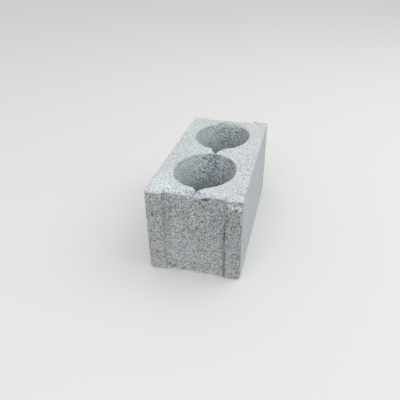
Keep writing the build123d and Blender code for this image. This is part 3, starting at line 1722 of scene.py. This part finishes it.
@dataclass
class Grains:
    """Grains of the aggregate that stand out of the cast surfaces, and crumbs on worn edges.

    Args:
        smallest, largest: radius of the grains.
        shape: how long, wide and high a grain is, in radii.
        crowding: grains on a square metre where their share is 1.
        open_share, loose_share: their share on an open face, and on a worn edge.
        loose_growth: how much larger the crumbs on a worn edge are.
        top_edge, bed_edge, rim_edge: how close crumbs lie along the top and bed edges of the
            ends and on the far rim, by the distance from the edge.
        rim_slump: depth of the far slump from which its crumbs lie as close as they can.
        inset: how far inside the block's box they stay.
        seed: seed of their places, turns and sizes.
    """

    smallest: float = 0.9 * MM
    largest: float = 1.9 * MM
    shape: Triple = (1.0, 0.85, 0.7)
    crowding: float = 26000.0
    open_share: float = 0.7
    loose_share: float = 2.2
    loose_growth: float = 0.45
    top_edge: Fade = Fade(-5.0 * MM, -1.0 * MM, high=0.6)
    bed_edge: Fade = Fade(-8.0 * MM, -4.0 * MM)
    rim_edge: Fade = Fade(-6.0 * MM, -1.0 * MM)
    rim_slump: float = 6.0 * MM
    inset: float = 0.2 * MM
    seed: int = 7

    def tree(self, block: ConcreteBlock, finish: bpy.types.Material) -> bpy.types.NodeTree:
        """Draws up the tree that strews the grains over the casting.

        Args:
            block: the block.
            finish: the material of the grains.

        Returns:
            The tree, with its sizes and its seed as named inputs.
        """
        tree = bpy.data.node_groups.new("strewn_grains", "GeometryNodeTree")
        for name, kind in (("Casting", "Object"), ("Smallest", "Float"), ("Largest", "Float"),
                           ("Crowding", "Float"), ("Seed", "Int")):
            tree.interface.new_socket(name, in_out="INPUT", socket_type=f"NodeSocket{kind}")
        tree.interface.new_socket("Grains", in_out="OUTPUT", socket_type="NodeSocketGeometry")
        sheet = NodeSheet(tree)
        given = sheet.add("NodeGroupInput")
        casting = sheet.add("GeometryNodeObjectInfo", {}, {"Object": given["Casting"]})["Geometry"]
        place = sheet.add("GeometryNodeInputPosition")["Position"]
        d = block.distances(place)
        on = block.faces(place, d)
        loose = self.loose(place, d, block)
        openness = block.openness(place, on)
        density = (openness * self.open_share + loose * self.loose_share) * given["Crowding"]
        points = sheet.add("GeometryNodeDistributePointsOnFaces", {"distribute_method": "RANDOM"},
                           {"Mesh": casting, "Density": density, "Seed": given["Seed"]})["Points"]
        turn = sheet.add("FunctionNodeRandomValue", {"data_type": "FLOAT_VECTOR"},
                         {"Min": (0.0, 0.0, 0.0), "Max": (math.tau,) * 3, "Seed": given["Seed"]})
        size = sheet.add("FunctionNodeRandomValue", {"data_type": "FLOAT"},
                         {"Min": given["Smallest"], "Max": given["Largest"], "Seed": given["Seed"]})
        grain = sheet.add("GeometryNodeMeshIcoSphere", {}, {"Radius": 1.0, "Subdivisions": 1})["Mesh"]
        scale = sheet.scaled(self.shape, size["Value"] * (loose * self.loose_growth + 1.0))
        strewn = sheet.add("GeometryNodeInstanceOnPoints", {}, {
            "Points": points, "Instance": grain, "Rotation": turn["Value"], "Scale": scale})
        real = sheet.add("GeometryNodeRealizeInstances", {}, {"Geometry": strewn["Instances"]})
        kept = sheet.vector("MAXIMUM", "Vector", place, tuple(v + self.inset for v in block.low))
        kept = sheet.vector("MINIMUM", "Vector", kept, tuple(v - self.inset for v in block.high))
        pressed = sheet.add("GeometryNodeSetPosition", {},
                            {"Geometry": real["Geometry"], "Position": kept})["Geometry"]
        dressed = sheet.add("GeometryNodeSetMaterial", {}, {"Geometry": pressed, "Material": finish})
        sheet.add("NodeGroupOutput", {}, {"Grains": dressed["Geometry"]})
        return tree

    def loose(self, place: Value, d: Distances, block: ConcreteBlock) -> Value:
        """How many loose crumbs lie at a place: most along worn edges.

        Args:
            place: the place.
            d: the distances to the clean surfaces.
            block: the block.

        Returns:
            The share, from 0 to 1.
        """
        near, far = block.crumbled(place)
        on_top = self.top_edge.at(d.end + d.top + near)
        on_bed = self.bed_edge.at(d.end + d.bed)
        on_rim = far * (1.0 / self.rim_slump) * self.rim_edge.at(d.top + far - d.hollow)
        return on_top.most(on_bed).most(on_rim).least(1.0)

    def strew(self, block: ConcreteBlock, casting: bpy.types.Object,
              finish: bpy.types.Material) -> bpy.types.Object:
        """Makes the grains' piece.

        Args:
            block: the block.
            casting: the casting that they stand on.
            finish: their material.

        Returns:
            The piece.
        """
        values = {"Casting": casting, "Smallest": self.smallest, "Largest": self.largest,
                  "Crowding": self.crowding, "Seed": self.seed}
        piece = grown("aggregate_grains", self.tree(block, finish), values)
        piece.data.shade_smooth()
        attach(piece, "root")
        log.info("%s: %d faces", piece.name, len(piece.data.polygons))
        return piece


@dataclass
class Studio:
    """The floor, the lights and the camera.

    Args:
        floor_size: length of the floor's sides.
        floor_colour: its colour, in linear light.
        floor_roughness, floor_specular: how matt it is.
        sky_strength: strength of the light from all round.
        camera_place: where the camera stands.
        camera_turn: how far it looks to the left, in degrees.
        camera_pitch: how far it looks down, in degrees.
        camera_roll: how far it is turned about its own axis, in degrees.
        camera_lens, sensor_width: its focal length and sensor, in millimetres.
    """

    floor_size: float = 14.0
    floor_colour: Triple = (0.80, 0.80, 0.79)
    floor_roughness: float = 0.9
    floor_specular: float = 0.1
    sky_strength: float = 0.74
    camera_place: Triple = mm(178.8, -824.7, 583.5)
    camera_turn: float = 14.56
    camera_pitch: float = 31.80
    camera_roll: float = -0.83
    camera_lens: float = 37.72
    sensor_width: float = 36.0

    def build(self) -> None:
        """Builds the whole studio."""
        self.floor()
        self.sky()
        self.lamps()
        self.camera()

    def floor(self) -> None:
        """Lays a plain pale floor."""
        half = self.floor_size / 2
        mesh = bpy.data.meshes.new("floor")
        corners = [(-half, -half, 0.0), (half, -half, 0.0), (half, half, 0.0), (-half, half, 0.0)]
        mesh.from_pydata(corners, [], [(0, 1, 2, 3)])
        floor = bpy.data.objects.new("floor", mesh)
        bpy.context.scene.collection.objects.link(floor)
        material = bpy.data.materials.new("floor")
        material.use_nodes = True
        shader = material.node_tree.nodes["Principled BSDF"]
        shader.inputs["Base Color"].default_value = (*self.floor_colour, 1.0)
        shader.inputs["Roughness"].default_value = self.floor_roughness
        shader.inputs["Specular IOR Level"].default_value = self.floor_specular
        mesh.materials.append(material)

    def sky(self) -> None:
        """Gives soft light from all round, and a white background to the camera."""
        world = bpy.data.worlds.new("studio")
        world.use_nodes = True
        world.node_tree.nodes.clear()
        sheet = NodeSheet(world.node_tree)
        path = sheet.add("ShaderNodeLightPath")
        seen = path["Is Camera Ray"].most(path["Is Glossy Ray"]).most(path["Is Transmission Ray"])
        strength = seen * (1.0 - self.sky_strength) + self.sky_strength
        light = sheet.add("ShaderNodeBackground", {}, {"Color": (1.0,) * 4, "Strength": strength})
        sheet.add("ShaderNodeOutputWorld", {}, {"Surface": sheet.first(light)})
        bpy.context.scene.world = world

    def lamps(self) -> None:
        """Hangs two large soft lamps high over the block, at its right side and in front of it."""
        self.lamp("key", place=(1.6, 0.5, 2.4), size=2.2, power=22.0)
        self.lamp("fill", place=(-0.2, -2.2, 2.4), size=2.0, power=16.0)

    def lamp(self, name: str, place: Triple, size: float, power: float) -> None:
        """Hangs a square area lamp that faces the block.

        Args:
            name: its name.
            place: where it hangs.
            size: length of its sides.
            power: its power in watts.
        """
        data = bpy.data.lights.new(name, "AREA")
        data.shape = "SQUARE"
        data.size = size
        data.energy = power
        lamp = bpy.data.objects.new(name, data)
        lamp.location = place
        lamp.rotation_euler = (-Vector(place)).to_track_quat("-Z", "Y").to_euler()
        bpy.context.scene.collection.objects.link(lamp)

    def camera(self) -> None:
        """Sets up the camera where the photograph was taken from."""
        data = bpy.data.cameras.new("camera")
        data.lens = self.camera_lens
        data.sensor_width = self.sensor_width
        camera = bpy.data.objects.new("camera", data)
        camera.location = self.camera_place
        turn = Euler((math.radians(90.0 - self.camera_pitch), 0.0, math.radians(self.camera_turn)))
        roll = Euler((0.0, 0.0, math.radians(self.camera_roll)))
        camera.rotation_euler = (turn.to_matrix() @ roll.to_matrix()).to_euler()
        bpy.context.scene.collection.objects.link(camera)
        bpy.context.scene.camera = camera


def main() -> None:
    """Builds the studio and the block in order."""
    logging.basicConfig(level=logging.INFO, format="%(name)s: %(message)s")
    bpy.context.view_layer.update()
    bpy.context.scene.view_settings.view_transform = "Standard"
    Studio().build()
    block = ConcreteBlock()
    finish = ConcreteFinish().material(block)
    casting = block.cast(finish)
    log.info("made %s", casting.name)
    grains = Grains().strew(block, casting, finish)
    log.info("made %s", grains.name)


if __name__ == "__main__":
    main()
